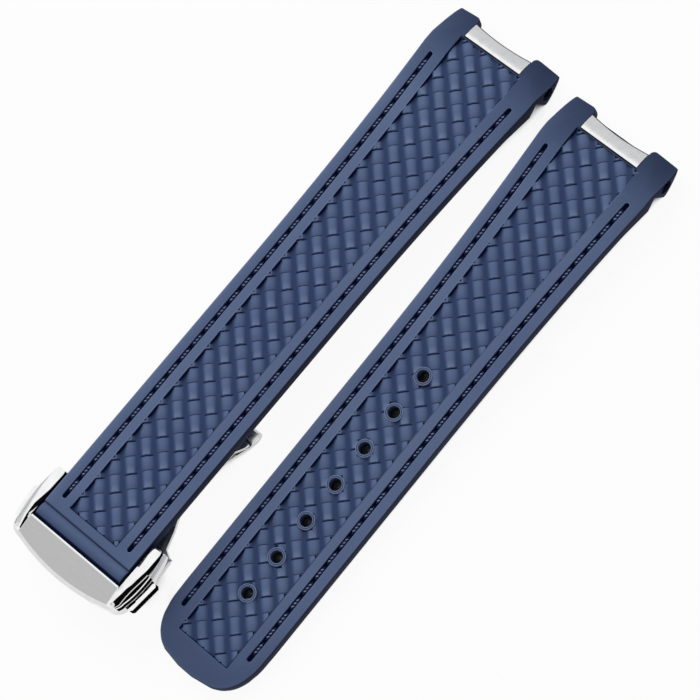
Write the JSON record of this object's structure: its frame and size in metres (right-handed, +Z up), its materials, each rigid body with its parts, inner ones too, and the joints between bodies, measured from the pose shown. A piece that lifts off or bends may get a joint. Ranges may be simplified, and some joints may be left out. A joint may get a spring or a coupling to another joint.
{
  "type": "silicone watch strap",
  "caption": "Two-piece silicone watch strap with woven-look panels, curved ends with steel inserts, and a steel folding clasp with push-buttons and a peg frame for the tail.",
  "frame": {"origin": "centre of the bottom of the box round both straps as they lie side by side on a table", "axes": "+Y along the straps towards their case ends, +Z up from the table to the straps' outer faces, +X from the clasp strap to the tail strap"},
  "size_m": [0.0478, 0.1081, 0.009],
  "materials": {
    "silicone": "satin moulded silicone",
    "brushed_steel": "fine brushed",
    "polished_steel": "polished stainless steel",
    "spring_steel": "drawn spring wire"
  },
  "bodies": {
    "clasp_strap": {"clasp_strap": "silicone", "clasp_strap_end_plate": "polished_steel", "clasp_strap_bar_tube": "polished_steel", "clasp_bar_barrel": "polished_steel", "clasp_bar_spring": "spring_steel"},
    "clasp_bar_tip_left": {"clasp_bar_tip_left": "polished_steel"},
    "clasp_bar_tip_right": {"clasp_bar_tip_right": "polished_steel"},
    "clasp_cover": {"clasp_cover": "brushed_steel", "cover_hinge_pin": "polished_steel", "button_spring_left": "spring_steel", "button_spring_right": "spring_steel"},
    "push_button_left": {"push_button_left": "polished_steel"},
    "push_button_right": {"push_button_right": "polished_steel"},
    "upper_blade": {"upper_blade": "brushed_steel"},
    "lower_blade": {"lower_blade": "brushed_steel", "blade_hinge_pin": "polished_steel"},
    "peg_frame": {"peg_frame": "brushed_steel", "strap_peg": "polished_steel", "peg_frame_pins": "polished_steel"},
    "tail_strap": {"tail_strap": "silicone", "tail_strap_end_plate": "polished_steel", "tail_strap_bar_tube": "polished_steel"}
  },
  "joints": [
    {"name": "clasp_bar_tip_left_slide", "type": "slide", "parent": "clasp_strap", "child": "clasp_bar_tip_left", "axis": [1, 0, 0], "range_m": [0, 0.0012], "stiffness_N_per_m": 500, "springref_m": -0.001},
    {"name": "clasp_bar_tip_right_slide", "type": "slide", "parent": "clasp_strap", "child": "clasp_bar_tip_right", "axis": [-1, 0, 0], "range_m": [0, 0.0012], "stiffness_N_per_m": 500, "springref_m": -0.001},
    {"name": "cover_swing", "type": "hinge", "parent": "clasp_strap", "child": "clasp_cover", "pos_m": [-0.01085, -0.04744, 0.00709], "axis": [-1, 0, 0], "range_deg": [0, 50]},
    {"name": "push_button_left_slide", "type": "slide", "parent": "clasp_cover", "child": "push_button_left", "axis": [1, 0, 0], "range_m": [0, 0.0008], "stiffness_N_per_m": 400, "springref_m": -0.001},
    {"name": "push_button_right_slide", "type": "slide", "parent": "clasp_cover", "child": "push_button_right", "axis": [-1, 0, 0], "range_m": [0, 0.0008], "stiffness_N_per_m": 400, "springref_m": -0.001},
    {"name": "upper_blade_swing", "type": "hinge", "parent": "clasp_cover", "child": "upper_blade", "pos_m": [-0.01085, -0.05266, 0.00457], "axis": [-1, 0, 0], "range_deg": [0, 150]},
    {"name": "lower_blade_swing", "type": "hinge", "parent": "upper_blade", "child": "lower_blade", "pos_m": [-0.01085, -0.01857, 0.00129], "axis": [1, 0, 0], "range_deg": [0, 165]},
    {"name": "peg_frame_swing", "type": "hinge", "parent": "lower_blade", "child": "peg_frame", "pos_m": [-0.01085, -0.0493, 0.00121], "axis": [-1, 0, 0], "range_deg": [0, 100]},
    {"name": "tail_strap_lift", "type": "slide", "parent": "clasp_strap", "child": "tail_strap", "axis": [0, 0, 1], "range_m": [0, 0.05]}
  ]
}
